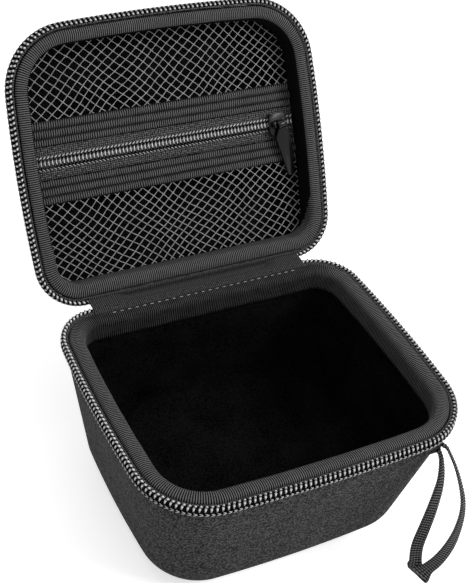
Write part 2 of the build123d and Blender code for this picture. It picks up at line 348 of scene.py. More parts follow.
def lay_grid(bm, columns, rows, place, uv_size=(1.0, 1.0), tone=None):
    """Adds a grid to a mesh and moves its crossings to place(column, row), with a rib tone there: painted
    light and shade for the materials.
    """
    layer = bm.loops.layers.uv.verify()
    # The "rib" attribute holds painted light: lighter rib crests and coil highlights, darker grooves.
    rib = bm.verts.layers.float.get("rib") or bm.verts.layers.float.new("rib")
    made = bmesh.ops.create_grid(bm, x_segments=columns, y_segments=rows, size=0.5, calc_uvs=True)
    for vertex in made["verts"]:
        column = round((vertex.co.x + 0.5) * columns)
        row = round((vertex.co.y + 0.5) * rows)
        vertex.co = place(column, row)
        vertex[rib] = tone(column, row) if tone else 0.0
    faces = {face for vertex in made["verts"] for face in vertex.link_faces}
    for face in faces:
        for loop in face.loops:
            loop[layer].uv = (loop[layer].uv.x * uv_size[0], loop[layer].uv.y * uv_size[1])
    return made["verts"]


def weld(bm):
    """Closes a mesh's seams and turns its faces outwards."""
    bmesh.ops.remove_doubles(bm, verts=bm.verts[:], dist=SEAM)
    bmesh.ops.recalc_face_normals(bm, faces=bm.faces[:])


def run_length(points):
    """Length of a run of points."""
    return sum((a - b).length for a, b in zip(points, points[1:]))


def heading(points, index):
    """Direction of a run of points at one of them."""
    return (points[min(index + 1, len(points) - 1)] - points[max(index - 1, 0)]).normalized()


def cap_ends(bm):
    """Closes the open ends of a mesh."""
    edges = [edge for edge in bm.edges if edge.is_boundary]
    bmesh.ops.holes_fill(bm, edges=edges, sides=0)


def tube(bm, columns, sides, place, tone=None):
    """Adds a grid that closes round its rows, and caps its ends."""
    verts = lay_grid(bm, columns, sides, place, tone=tone)
    bmesh.ops.remove_doubles(bm, verts=verts, dist=SEAM)
    cap_ends(bm)


class Bundle:
    """Gathers many small shapes into one mesh, a handful at a time, which is quicker."""

    HANDFUL = 1500

    def __init__(self):
        self.bm = bmesh.new()
        self.whole = bmesh.new()
        self.marked = 0

    def mark(self, material):
        """Gives a material to the shapes added since the last mark."""
        self.bm.faces.ensure_lookup_table()
        for face in self.bm.faces[self.marked :]:
            face.material_index = material
        self.marked = len(self.bm.faces)
        if self.marked > self.HANDFUL:
            self.gather()

    def gather(self):
        """Moves the handful to the whole mesh and returns that."""
        mesh = bpy.data.meshes.new("handful")
        self.bm.to_mesh(mesh)
        self.whole.from_mesh(mesh)
        bpy.data.meshes.remove(mesh)
        self.bm.clear()
        self.marked = 0
        return self.whole


def thread(bm, points, radius, sides, widen=None, tone=None):
    """Adds a round thread along points; widen(index) stretches it there, tone(index) lightens it."""
    side = (points[1] - points[0]).orthogonal().normalized()
    rings = []
    for index, point in enumerate(points):
        ahead = heading(points, index)
        side = (side - ahead * side.dot(ahead)).normalized()
        across = ahead.cross(side)
        stretch = widen(index) if widen else 1.0
        ring = []
        for step in range(sides):
            turn = 2 * math.pi * step / sides
            ring.append(point + radius * stretch * (math.cos(turn) * side + math.sin(turn) * across))
        rings.append(ring)
    shade = (lambda column, row: tone(column)) if tone else None
    tube(bm, len(points) - 1, sides, lambda column, row: rings[column][row % sides], shade)


def bead(bm, start, end, width, height=None):
    """Adds one stitch, a long round bead between two points."""
    middle = (start + end) / 2
    along = (end - start).normalized()
    turn = along.to_track_quat("X", "Z").to_matrix().to_4x4()
    shape = Matrix.Diagonal(((end - start).length / 2 + width / 4, width / 2, (height or width) / 2, 1))
    place = Matrix.Translation(middle) @ turn @ shape
    bmesh.ops.create_uvsphere(bm, u_segments=6, v_segments=5, radius=1, matrix=place, calc_uvs=False)


def add_object(name, data):
    """Puts an object in the scene."""
    made = bpy.data.objects.new(name, data)
    bpy.context.scene.collection.objects.link(made)
    return made


def finish_piece(bm, name, makers, place=None):
    """Makes a piece of a mesh drawn in millimetres, with a material from each maker."""
    if place is not None:
        bmesh.ops.transform(bm, matrix=place, verts=bm.verts[:])
    bmesh.ops.scale(bm, vec=(MM, MM, MM), verts=bm.verts[:])
    bmesh.ops.recalc_face_normals(bm, faces=bm.faces[:])
    mesh = bpy.data.meshes.new(name)
    bm.to_mesh(mesh)
    bm.free()
    for polygon in mesh.polygons:
        polygon.use_smooth = True
    for maker in makers:
        mesh.materials.append(bpy.data.materials.get(maker.__name__) or maker(maker.__name__))
    return add_object(name, mesh)


def grid_piece(name, maker, columns, rows, place, uv_size, tone, rim=None):
    """Makes a piece of one grid that closes round its rows, with its ends capped."""
    bm = bmesh.new()
    lay_grid(bm, columns, rows, place, uv_size, tone)
    weld(bm)
    cap_ends(bm)
    return finish_piece(bm, name, [maker], rim)


def settle(piece, body, node):
    """Ties a piece to its body and hides the CAD node it stands for."""
    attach(piece, body)
    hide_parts(node)


def node_copy(name, node, maker, body, round_edges=0.0):
    """Makes a piece of one CAD node, merged and with its sharp edges rounded."""
    bm = bmesh.new()
    bm.from_mesh(frame["nodes"][node].data)
    bmesh.ops.scale(bm, vec=(1 / MM, 1 / MM, 1 / MM), verts=bm.verts[:])
    bmesh.ops.remove_doubles(bm, verts=bm.verts[:], dist=2e-3)
    if round_edges:
        bmesh.ops.dissolve_limit(
            bm, angle_limit=math.radians(1), use_dissolve_boundaries=False,
            verts=bm.verts[:], edges=bm.edges[:], delimit=set(),
        )
        sharp = [e for e in bm.edges if e.is_manifold and e.calc_face_angle(0) > math.radians(30)]
        bmesh.ops.bevel(
            bm, geom=sharp, offset=round_edges, offset_type="OFFSET", segments=3, profile=0.5,
            affect="EDGES", clamp_overlap=True, material=-1,
        )
    for face in bm.faces:
        face.material_index = 0
    piece = finish_piece(bm, name, [maker])
    piece.data.set_sharp_from_angle(angle=math.radians(35))
    settle(piece, body, node)


# ---- Finishes ----


class Nodes:
    """Adds nodes to a node tree."""

    def __init__(self, tree):
        self.tree = tree

    def node(self, kind, inputs=(), **settings):
        """Adds a node; inputs pairs sockets with values or with other nodes' sockets."""
        node = self.tree.nodes.new(kind)
        for key, value in settings.items():
            setattr(node, key, value)
        for key, value in inputs:
            if isinstance(value, bpy.types.NodeSocket):
                self.tree.links.new(value, node.inputs[key])
            else:
                node.inputs[key].default_value = value
        return node

    def math(self, operation, first, second=0.0, third=0.0, **settings):
        """Adds a sum on values."""
        inputs = [(0, first), (1, second), (2, third)]
        return self.node("ShaderNodeMath", inputs, operation=operation, **settings).outputs[0]


class Finish(Nodes):
    """Node tree of one material, built around its shader."""

    def __init__(self, name, colour, roughness):
        self.material = bpy.data.materials.new(name)
        self.material.use_nodes = True
        super().__init__(self.material.node_tree)
        self.shader = self.tree.nodes["Principled BSDF"]
        self.colour = tuple(colour)
        self.set("Base Color", (*colour, 1.0))
        self.set("Roughness", roughness)

    def set(self, socket, value):
        """Sets one of the shader's own values."""
        self.shader.inputs[socket].default_value = value

    def blend(self, first, second, share):
        """Adds two patterns, with the second at a share."""
        base = self.math("MULTIPLY", first, 1 - share)
        return self.math("MULTIPLY_ADD", second, share, base)

    def place(self, source, across, along=None):
        """Coordinates of the object or its UV map, for a pattern of so many millimetres."""
        scale = [1 / (size * MM) for size in (across, along or across, across)]
        coordinates = self.node("ShaderNodeTexCoord").outputs[source]
        return self.node("ShaderNodeMapping", [("Vector", coordinates), ("Scale", scale)]).outputs[0]

    def noise(self, source, across, along=None, detail=2.0):
        """Cloudy pattern."""
        inputs = [("Vector", self.place(source, across, along)), ("Scale", 1.0), ("Detail", detail)]
        return self.node("ShaderNodeTexNoise", inputs).outputs[0]

    def cells(self, across):
        """Small rounded cells: their height and their random shade."""
        inputs = [("Vector", self.place("Object", across)), ("Scale", 1.0), ("Randomness", 0.8)]
        node = self.node("ShaderNodeTexVoronoi", inputs)
        return self.math("SUBTRACT", 1.0, node.outputs["Distance"]), node.outputs["Color"]

    def waves(self, axis, across, along=None):
        """Ridges along axis 0 or 1 of the UV map, from 0 to 1."""
        split = self.node("ShaderNodeSeparateXYZ", [(0, self.place("UV", across, along))])
        turn = self.math("MULTIPLY", split.outputs[axis], 2 * math.pi)
        return self.math("MULTIPLY_ADD", self.math("COSINE", turn), -0.5, 0.5)

    def shade(self, value, dark, light, low=0.0, high=1.0):
        """Base colour from dark at a low value to light at a high one, as shares of the colour."""
        ramp = self.node("ShaderNodeValToRGB", [(0, value)])
        for element, position, share in zip(ramp.color_ramp.elements, (low, high), (dark, light)):
            element.position = position
            element.color = (*[min(1.0, channel * share) for channel in self.colour], 1.0)
        self.tree.links.new(ramp.outputs["Color"], self.shader.inputs["Base Color"])

    def bump(self, height, depth, strength):
        """Relief of a depth in millimetres."""
        inputs = [("Height", height), ("Distance", depth * MM), ("Strength", strength)]
        bump = self.node("ShaderNodeBump", inputs)
        self.tree.links.new(bump.outputs["Normal"], self.shader.inputs["Normal"])

    def rib_tone(self):
        """Tone that the mesh holds at each of its points: painted highlights and painted shade."""
        return self.node("ShaderNodeAttribute", attribute_name="rib").outputs["Fac"]

    def soft(self, gloss):
        """Gives the material of a dull surface with a little gloss."""
        self.set("Specular IOR Level", gloss)
        return self.material

    def coated(self, weight, roughness):
        """Gives the material of a surface with a clear coat."""
        self.set("Coat Weight", weight)
        self.set("Coat Roughness", roughness)
        return self.material


def shell_weave(name):
    """Fine plain weave with light flecks, laminated on the foam."""
    cloth = Finish(name, colours().shell, 0.82)
    height, shade = cloth.cells(0.62)
    fleck = cloth.noise("Object", 0.5, detail=1.0)
    patch = cloth.noise("Object", 18, detail=3.0)
    value = cloth.blend(cloth.blend(fleck, shade, 0.5), patch, 0.06)
    cloth.shade(value, 0.3, 3.2, 0.4, 0.74)
    cloth.bump(height, 0.2, 0.6)
    return cloth.soft(0.05)


def lining_nap(name):
    """Short brushed nap on a knitted ground."""
    cloth = Finish(name, colours().lining, 0.95)
    nap = cloth.noise("Object", 0.9, detail=4.0)
    patch = cloth.noise("Object", 14)
    cloth.shade(cloth.blend(nap, patch, 0.3), 0.25, 2.4, 0.35, 0.7)
    cloth.bump(nap, 0.15, 0.5)
    return cloth.soft(0.0)


def wall_cloth(name):
    """Smooth cloth of the lid's inner wall, near black as painted shade inside the rim."""
    cloth = Finish(name, colours().wall, 0.7)
    knit = cloth.waves(1, 0.4)
    patch = cloth.noise("UV", 9, 30, detail=3.0)
    cloth.shade(cloth.blend(patch, knit, 0.2), 0.5, 1.6)
    cloth.bump(cloth.blend(knit, patch, 0.7), 0.12, 0.5)
    return cloth.soft(0.02)


def rib_weave(name):
    """Ribs that follow the mesh's own, each wound with fine threads; their tone paints light on the crests
    and shade in the grooves.
    """
    cloth = Finish(name, colours().binding, 0.75)
    rib = cloth.rib_tone()
    wound = cloth.waves(1, 1.0, 0.4)
    fibre = cloth.noise("UV", 0.4, 0.25)
    patch = cloth.noise("UV", 7, 3)
    value = cloth.blend(cloth.blend(rib, cloth.blend(wound, fibre, 0.6), 0.2), patch, 0.12)
    cloth.shade(value, 0.03, 1.9, 0.54, 0.88)
    cloth.bump(cloth.blend(wound, fibre, 0.5), 0.06, 0.6)
    return cloth.soft(0.05)


def hinge_weave(name):
    """Cloth of the hinge, ribbed like the bindings, with sparse light yarns; darker than the bindings as
    painted shade under the open lid.
    """
    cloth = Finish(name, colours().hinge, 0.8)
    rib = cloth.rib_tone()
    yarn = cloth.noise("UV", 1.0, 0.5)
    cloth.shade(cloth.blend(rib, yarn, 0.6), 0.05, 2.6, 0.4, 0.75)
    cloth.bump(yarn, 0.08, 0.6)
    return cloth.soft(0.05)


def tape_cloth(name):
    """Close herringbone of light and dark yarn."""
    cloth = Finish(name, colours().tape, 0.8)
    across = cloth.waves(0, 1.0)
    along = cloth.waves(1, 0.9)
    fleck = cloth.noise("UV", 0.8, 0.9)
    weave = cloth.math("MULTIPLY", across, along)
    cloth.shade(cloth.blend(weave, fleck, 0.7), 0.05, 2.6, 0.32, 0.66)
    cloth.bump(weave, 0.1, 0.6)
    return cloth.soft(0.05)


def coil_nylon(name):
    """Slightly glossy nylon wire, lighter where its own tone says: painted highlights on black nylon."""
    nylon = Finish(name, colours().coil, 0.25)
    painted_highlight = nylon.rib_tone()
    scuff = nylon.noise("Object", 0.7)
    nylon.shade(nylon.blend(painted_highlight, scuff, 0.3), 0.04, 2.2, 0.25, 0.85)
    nylon.bump(scuff, 0.03, 0.3)
    return nylon.coated(0.15, 0.2)


def sewing_thread(name):
    """Light twisted sewing thread."""
    yarn = Finish(name, colours().stitch, 0.6)
    twist = yarn.noise("Object", 0.3)
    yarn.shade(twist, 0.35, 1.6)
    yarn.bump(twist, 0.05, 0.6)
    return yarn.soft(0.2)


def net_thread(name):
    """Slightly glossy knotted net yarn."""
    yarn = Finish(name, colours().net, 0.5)
    twist = yarn.noise("Object", 0.5)
    patch = yarn.noise("Object", 6)
    yarn.shade(yarn.blend(twist, patch, 0.5), 0.3, 1.7)
    yarn.bump(twist, 0.04, 0.5)
    return yarn.soft(0.3)


def slider_paint(name):
    """Gloss paint over die-cast metal, a little uneven, with rubbed specks."""
    paint = Finish(name, colours().metal, 0.2)
    ripple = paint.noise("Object", 2.2)
    speck = paint.noise("Object", 0.5, detail=3.0)
    paint.shade(speck, 0.8, 4.0, 0.62, 0.9)
    paint.bump(ripple, 0.05, 0.4)
    paint.set("Specular IOR Level", 0.18)
    return paint.coated(0.1, 0.06)


def strap_webbing(name):
    """Webbing with cross ribs and a line of warp down its middle; the ribs' tone paints light on their
    crests and shade in their grooves.
    """
    cloth = Finish(name, colours().webbing, 0.75)
    rib = cloth.rib_tone()
    warp = cloth.waves(1, 0.9)
    fibre = cloth.noise("UV", 0.4, 0.5)
    value = cloth.blend(cloth.blend(rib, warp, 0.25), fibre, 0.2)
    cloth.shade(value, 0.02, 2.3, 0.52, 0.84)
    cloth.bump(cloth.blend(warp, fibre, 0.5), 0.08, 0.6)
    return cloth.soft(0.05)


# The third material, near black, is painted shade in the coils' cores and in the pocket coil's strip.
COIL_MAKERS = (coil_nylon, sewing_thread, lining_nap)

# ---- Rims ----


def arc_points(centre, radius, start, end, steps):
    """Points of an arc between two angles in degrees, both ends included."""
    points = []
    for step in range(steps + 1):
        turn = math.radians(start + (end - start) * step / steps)
        points.append((centre[0] + radius * math.cos(turn), centre[1] + radius * math.sin(turn)))
    return points


def outward_directions(profile):
    """Outward direction at each point of a closed section, walked clockwise."""
    directions = []
    for index in range(len(profile)):
        before, after = profile[index - 1], profile[(index + 1) % len(profile)]
        step = Vector((after[0] - before[0], after[1] - before[1])).normalized()
        directions.append((-step.y, step.x))
    return directions


def binding_profile(leg_outer, leg_inner, leg_depth, leg_rows):
    """Section of a binding as (inset, height): outer foot, top, inner leg and round; how many rows show."""
    outer_round, inner_round, crown, sunk = 1.3, 2.6, 0.2, 0.15
    top = -BINDING_DROP - sunk
    foot = SHELL_INSET + BINDING_GROOVE
    outer = arc_points((foot + outer_round, top - outer_round), outer_round, 180, 90, 4)
    inner = arc_points((leg_inner - inner_round, top - inner_round), inner_round, 90, 0, 6)
    flat = inner[0][0] - outer[-1][0]
    middle = []
    for step in range(1, 4):
        share = step / 4
        middle.append((outer[-1][0] + flat * share, top + crown * math.sin(math.pi * share)))
    leg_top = inner[-1][1]
    leg = [(leg_inner, leg_top + (-leg_depth - leg_top) * row / leg_rows) for row in range(1, leg_rows + 1)]
    seen = [(foot, -SEAT_DROP), *outer, *middle, *inner, *leg]
    hidden = [(leg_outer, -leg_depth), (leg_outer, -SEAT_DROP)]
    return seen + hidden, len(seen)


def rim_grid(bm, profile, columns, inset, lift, tone=None):
    """Lays a closed section round the rim; lift(column, row, outward) raises its surface."""
    line = Outline(inset)
    stops = [line.at(line.length * column / columns) for column in range(columns + 1)]
    outwards = outward_directions(profile)
    rows = len(profile)

    def place(column, row):
        point, outward = stops[column]
        depth, height = profile[row % rows]
        aside, up = outwards[row % rows]
        rise = lift(column, row % rows, outward)
        point = point - outward * (depth + rise * aside - inset)
        return Vector((point.x, point.y, height + rise * up))

    around = run_length([Vector(point) for point in profile])
    return lay_grid(bm, columns, rows, place, (line.length * MM, around * MM), tone)


def rib_lift(column, row=0):
    """Height of a rib at one of its four columns, from 0 to 1, the same in each row; as a tone it paints
    light on the crests and shade in the grooves.
    """
    return (0.0, 0.72, 1.0, 0.72)[column % 4]


def softness(distance, row, reach):
    """Small unevenness of a sewn edge."""
    return reach * noise.noise(Vector((distance / 11, row / 5, 0)))


def binding(name, body, leg_outer, leg_inner, leg_depth, plain_wall):
    """Ribbed binding of one rim, the base's with painted shade towards its back; with plain_wall only the
    hinge's side has ribs low on its leg, and below that its leg takes the wall cloth, near black as painted
    shade.
    """
    pitch, height = sizes().rib_pitch / MM, sizes().rib_height / MM
    leg_rows = 5
    profile, seen = binding_profile(leg_outer, leg_inner, leg_depth, leg_rows)
    line = Outline((SHELL_INSET + leg_inner) / 2)
    length = line.length
    columns = 4 * round(length / pitch)
    wall_row = seen - leg_rows - 4
    backs = [max(0.0, line.at(length * column / columns)[1].y) for column in range(columns + 1)]

    def lift(column, row, outward):
        if not 0 < row < seen:
            return 0.0
        share = max(0.0, outward.y) ** 4 if plain_wall and row >= wall_row else 1.0
        distance = length * (column % columns) / columns
        return share * height * rib_lift(column) + softness(distance, row, 0.12)

    def tone(column, row):
        # Painted shade: the base's binding darkens towards its back.
        painted_shade = 0.0 if plain_wall else PAINTED_BACK_SHADE * backs[column] ** 3
        return rib_lift(column) * (1 - painted_shade) if row % len(profile) < seen else 0.0

    bm = bmesh.new()
    rim_grid(bm, profile, columns, line.inset, lift, tone)
    makers = [rib_weave]
    if plain_wall:
        makers.append(wall_cloth)
        # Faces low on the lid's leg get the wall cloth: painted shade inside the rim.
        low = profile[wall_row][1] + 0.01
        for face in bm.faces:
            middle = face.calc_center_median()
            if middle.z < low - max(0.0, middle.y - BACK + WALL_END) * WALL_SLOPE:
                face.material_index = 1
    weld(bm)
    if body == "base":
        makers.append(sewing_thread)
        back_stitches(bm)
    piece = finish_piece(bm, name, makers, rim_place(body))
    settle(piece, body, f"{body}_binding")


def back_stitches(bm):
    """Sews a dashed row along the back of the base's binding."""
    line = Outline(SHELL_INSET + 3.2)
    count, reach, pitch, width = len(bm.faces), 46.0, 3.6, 0.3
    for number in range(round(2 * reach / pitch)):
        start = number * pitch - reach
        places = (start, start + pitch / 2)
        bead(bm, *[rim_point(line, place, line.inset, width - BINDING_DROP) for place in places], width)
    bm.faces.ensure_lookup_table()
    for face in bm.faces[count:]:
        face.material_index = 1


def zip_tape(name, body):
    """Woven tape that carries the main coil, with a raised selvedge at its foot."""
    inner, outer = SHELL_INSET, TAPE_INSET
    rows = 8
    face = [(outer, -TAPE_FOOT + (TAPE_FOOT - TAPE_TOP) * row / rows) for row in range(rows + 1)]
    profile = face + [(inner, -TAPE_TOP), (inner, -TAPE_FOOT)]
    length = Outline(outer).length

    def lift(column, row, outward):
        selvedge = 0.18 if row in (1, 2) else 0.0
        return selvedge + (softness(length * column / columns, row, 0.08) if 0 < row < rows else 0.0)

    columns = 480
    bm = bmesh.new()
    rim_grid(bm, profile, columns, outer, lift)
    weld(bm)
    piece = finish_piece(bm, name, [tape_cloth], rim_place(body))
    settle(piece, body, f"{body}_zipper_tape")


def rim_point(line, distance, inset, height):
    """Point at a distance along the rim, at an inset and a height."""
    point, outward = line.at(distance)
    point = point - outward * (inset - line.inset)
    return Vector((point.x, point.y, height))


def squared(value, power):
    """A sine or cosine bent towards a squarer loop."""
    return math.copysign(abs(value) ** power, value)


def coil_core(bm, line, start, span):
    """Cord that fills the loops of the main coil and backs its stitches; its near-black colour is painted
    shade between the loops.
    """
    columns, sides = 360, 16
    low, high = -COIL_FOOT + 0.05, -RIM_GAP / 2 - 0.75
    near, far = 0.16, TAPE_INSET - 0.05

    def place(column, row):
        turn = 2 * math.pi * (row % sides) / sides
        inset = (near + far) / 2 - (far - near) / 2 * squared(math.cos(turn), 0.5)
        height = (low + high) / 2 + (high - low) / 2 * squared(math.sin(turn), 0.5)
        return rim_point(line, start + span * column / columns, inset, height)

    tube(bm, columns, sides, place)


def main_coil(name, body):
    """One half of the main coil: looped nylon wire sewn down with chevron stitches."""
    pitch, wire = sizes().coil_pitch / MM, sizes().coil_wire / MM / 2
    line = Outline(TAPE_INSET / 2)
    start, span = COIL_END, line.length - 2 * COIL_END
    turns = round(span / pitch)
    steps = 14
    top, foot = -RIM_GAP / 2, -MAIN_COIL_HEIGHT
    middle = (top + foot) / 2
    half_height = (top - foot) / 2 - wire
    half_depth = TAPE_INSET / 2 - wire
    points = []
    for step in range(turns * steps + 1):
        turn = 2 * math.pi * step / steps
        inset = TAPE_INSET / 2 - half_depth * squared(math.cos(turn), LOOP_DEPTH_POWER)
        height = middle + half_height * squared(math.sin(turn), LOOP_HEIGHT_POWER)
        along = step / steps - LOOP_LEAN * math.sin(turn) / (2 * math.pi)
        points.append(rim_point(line, start + span * along / turns, inset, height))
    bundle = Bundle()
    # Painted highlights: each turn of the wire is lit twice and dark between.
    painted_highlights = [abs(math.sin(4 * math.pi * (step + 0.5) / steps)) ** LOOP_HIGHLIGHT_POWER for step in range(steps)]
    thread(bundle.bm, points, wire, 6, tone=lambda index: painted_highlights[index % steps])
    bundle.mark(0)
    coil_core(bundle.bm, line, start, span)
    bundle.mark(2)
    step = span / turns
    for turn in range(turns):
        place = start + step * turn
        for chevron in CHEVRON:
            ends = [rim_point(line, place + step * share, CHEVRON_INSET, z) for share, z in chevron]
            bead(bundle.bm, *ends, CHEVRON_WIDTH)
        bundle.mark(1)
    piece = finish_piece(bundle.gather(), name, COIL_MAKERS, rim_place(body))
    settle(piece, body, f"{body}_zipper_coil")


# ---- Hinge ----


def open_lid_point(y, above):
    """Place in the open lid of a point of the closed one at the middle, above the rim plane."""
    return rim_place("lid") @ Vector((0, y, -above))


def smooth_step(share):
    """A share held between 0 and 1, with a soft start and end."""
    share = min(1.0, max(0.0, share))
    return share * share * (3 - 2 * share)


def smooth_line(points, steps):
    """Points of a smooth curve through a few (y, z) points."""
    curve = bpy.data.curves.new("route", "CURVE")
    curve.dimensions = "3D"
    curve.resolution_u = steps
    spline = curve.splines.new("NURBS")
    spline.points.add(len(points) - 1)
    for target, point in zip(spline.points, points):
        target.co = (*point, 1.0)
    spline.order_u = 3
    spline.use_endpoint_u = True
    holder = bpy.data.objects.new("route", curve)
    mesh = bpy.data.meshes.new_from_object(holder)
    line = [vertex.co.copy() for vertex in mesh.vertices]
    bpy.data.objects.remove(holder)
    bpy.data.curves.remove(curve)
    bpy.data.meshes.remove(mesh)
    return line


def cloth_sections(route):
    """Points of a (y, z) route drawn smooth, each with its upward direction."""
    line = smooth_line([(0, y, z) for y, z in route], 5)
    sections = []
    for index, point in enumerate(line):
        ahead = heading(line, index)
        sections.append((point, Vector((0, -ahead.z, ahead.y))))
    return line, sections


def hinge_cloth(name, half, route, end_route, thickness, nodes):
    """Ribbed cloth that crosses the hinge along a (y, z) route, or near its ends along another."""
    pitch, height = sizes().rib_pitch / MM, sizes().rib_height / MM
    ribs = round(2 * half / pitch)
    line, sections = cloth_sections(route)
    end_sections = cloth_sections(end_route)[1]
    count = len(sections)

    def place(column, row):
        across = half * (2 * column / (4 * ribs) - 1)
        row %= 2 * count
        index = row if row < count else 2 * count - 1 - row
        share = smooth_step((abs(across) - HINGE_HALF + CLOTH_END_LAP) / CLOTH_END_RUN)
        point = sections[index][0].lerp(end_sections[index][0], share)
        up = sections[index][1].lerp(end_sections[index][1], share)
        point = point + up * (height * rib_lift(column) if row < count else -thickness)
        return Vector((across, point.y, point.z))

    uv_size = (2 * half * MM, 2 * run_length(line) * MM)
    # rib_lift as tone: painted light on the rib crests, painted shade in the grooves.
    piece = grid_piece(name, hinge_weave, 4 * ribs, 2 * count, place, uv_size, rib_lift)
    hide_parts(*nodes)
    return piece


def hinge():
    """Inner and outer cloth of the hinge, bending between base and lid."""
    fold_y, fold_z = HINGE_POINT.yz
    edge = BACK - SHELL_INSET
    lid_edge = open_lid_point(edge, -BINDING_DROP - 0.4)
    lid_lap = open_lid_point(edge + 2.4, 0.9)
    route = [
        (edge - 1.6, RIM - 1.1),
        (edge + 1.2, RIM - 0.45),
        (fold_y - 0.9, RIM - 0.6),
        (fold_y + 0.5, fold_z - 0.2),
        (lid_lap.y - 0.3, lid_lap.z - 0.9),
        lid_lap.yz,
        lid_edge.yz,
    ]
    end_route = [
        (edge - 1.6, RIM - 1.1),
        (edge + 1.4, RIM - 0.1),
        (fold_y - 0.4, RIM + 0.1),
        (fold_y + 1.6, RIM + 0.1),
        (lid_edge.y + 0.2, RIM + 0.3),
        (lid_edge.y + 0.3, lid_edge.z - 0.3),
        lid_edge.yz,
    ]
    inner = hinge_cloth(
        "hinge_inner_cloth", INNER_CLOTH_HALF, route, end_route, 0.5,
        ("hinge_inner_base_leaf", "hinge_inner_lid_leaf"),
    )
    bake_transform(inner)
    face = BACK - TAPE_INSET + OUTER_CLOTH
    lid_high = open_lid_point(face, TAPE_TOP)
    route = [
        open_lid_point(face, OUTER_CLOTH_DEPTH).yz,
        open_lid_point(face, TAPE_FOOT).yz,
        lid_high.yz,
        (fold_y, fold_z - 0.6),
        (face, RIM - TAPE_TOP - 0.6),
        (face, RIM - TAPE_FOOT),
        (face - 0.4, RIM - OUTER_CLOTH_DEPTH),
    ]
    outer = hinge_cloth(
        "hinge_outer_cloth", OUTER_CLOTH_HALF, route, route, 0.6,
        ("hinge_outer_base_leaf", "hinge_outer_lid_leaf"),
    )
    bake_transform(outer)


# ---- Pocket ----


def strip(name, y_near, y_far, maker, strands, rows, thickness, crown, rib_height, rib_pitch):
    """Elastic strip across the lid, in lengthwise strands with ribs across them."""
    line = Outline(LID_LINING_INSET + 1.2)
    widest = max(line.half_width(y_near), line.half_width(y_far))
    ribs = round(2 * widest / rib_pitch)
    top = strands * rows

    def swell(row):
        return abs(math.sin(math.pi * row / rows)) ** 0.6

    # Tone: painted light on the rib crests, painted shade in the grooves and along the seams between
    # strands.
    def rib(column, row):
        return rib_lift(column + 2 * (row // rows % 2)) * (0.7 + 0.3 * swell(row))

    def place(column, row):
        row %= top + 3
        share = (1.0, 1.0, 0.0)[row - top] if row >= top else row / top
        y = y_near + (y_far - y_near) * share
        half = line.half_width(y)
        across = 2 * column / (4 * ribs) - 1
        if row > top:
            return Vector((half * across, y, -POCKET_DEPTH - thickness))
        x = half * across
        ripple = 0.5 * noise.noise(Vector((x / 5, y / 3, strands))) * (1 - across**2)
        sag = 0.3 * noise.noise(Vector((x / 14, y / 9, 2.0))) - 0.25
        rise = crown * swell(row) + rib_height * rib(column, row)
        return Vector((x + ripple, y, -POCKET_DEPTH + rise + sag))

    def tone(column, row):
        return rib(column, row) if row <= top else 0.0

    uv_size = (2 * widest * MM, abs(y_far - y_near) * (top + 3) / top * MM)
    return grid_piece(name, maker, 4 * ribs, top + 3, place, uv_size, tone, rim_place("lid"))


def pocket_band(name, side):
    """Elastic band of three ribbed strands between the zip tape and the net."""
    near = POCKET_ZIP_Y + side * (POCKET_GAP + POCKET_TAPE)
    far = near + side * POCKET_BAND
    piece = strip(
        f"pocket_{name}_elastic", near, far, rib_weave, strands=3, rows=5, thickness=1.0,
        crown=0.45, rib_height=0.22, rib_pitch=sizes().band_pitch / MM,
    )
    settle(piece, "lid", f"pocket_{name}_band")


def pocket_tape(name, side):
    """Woven tape of the pocket's zip."""
    near = POCKET_ZIP_Y + side * POCKET_GAP
    far = near + side * POCKET_TAPE
    piece = strip(
        f"pocket_{name}_tape", near, far, tape_cloth, strands=1, rows=6, thickness=0.7,
        crown=0.15, rib_height=0.0, rib_pitch=1.6,
    )
    settle(piece, "lid", f"pocket_{name}_zip_tape")


def pocket_coil(name, side):
    """One half of the closed pocket coil: humped turns, their heads locked in the other half's."""
    pitch = sizes().pocket_pitch / MM
    half = Outline(LID_LINING_INSET + LINING + LID_LEG).half_width(POCKET_ZIP_Y) - 0.2
    turns = int(2 * half / pitch)
    base, top = -POCKET_DEPTH, -POCKET_DEPTH + POCKET_COIL_HEIGHT
    bundle = Bundle()
    stitch, painted_highlights, lag = POCKET_COIL_LOOKS[side]
    wire, shade_strip_width, shade_strip_height = 0.36, 2.3, 0.5
    first = (lag - turns / 2) * pitch
    for turn in range(turns):
        x = first + turn * pitch
        route = [
            (x + 0.3 * pitch, side * 2.5, base + 0.5),
            (x, side * 1.4, top - 0.6),
            (x - 0.12 * pitch, side * 0.5, top - wire),
            (x - 0.08 * pitch, side * -0.5, top - wire),
            (x + 0.12 * pitch, side * -1.2, base + 0.75),
        ]
        points = [Vector((px, POCKET_ZIP_Y + py, pz)) for px, py, pz in route]
        thread(bundle.bm, points, wire, 6, tone=lambda index: painted_highlights[index])
        bundle.mark(0)
        start = Vector((x + 0.38 * pitch, POCKET_ZIP_Y + side * (POCKET_COIL - 0.1), base + 0.7))
        end = Vector((x - 0.38 * pitch, POCKET_ZIP_Y + side * (POCKET_COIL - 1.0), base + 0.85))
        bead(bundle.bm, start, end, stitch)
        bundle.mark(1)
    # Near-black strip under the teeth: painted shade between them.
    ends = [Vector((reach, POCKET_ZIP_Y + side * 1.25, base + 0.3)) for reach in (-half + 1.2, half - 1.2)]
    bead(bundle.bm, *ends, shade_strip_width, shade_strip_height)
    bundle.mark(2)
    piece = finish_piece(bundle.gather(), f"pocket_{name}_coil", COIL_MAKERS, rim_place("lid"))
    settle(piece, "lid", f"pocket_{name}_zip_coil")


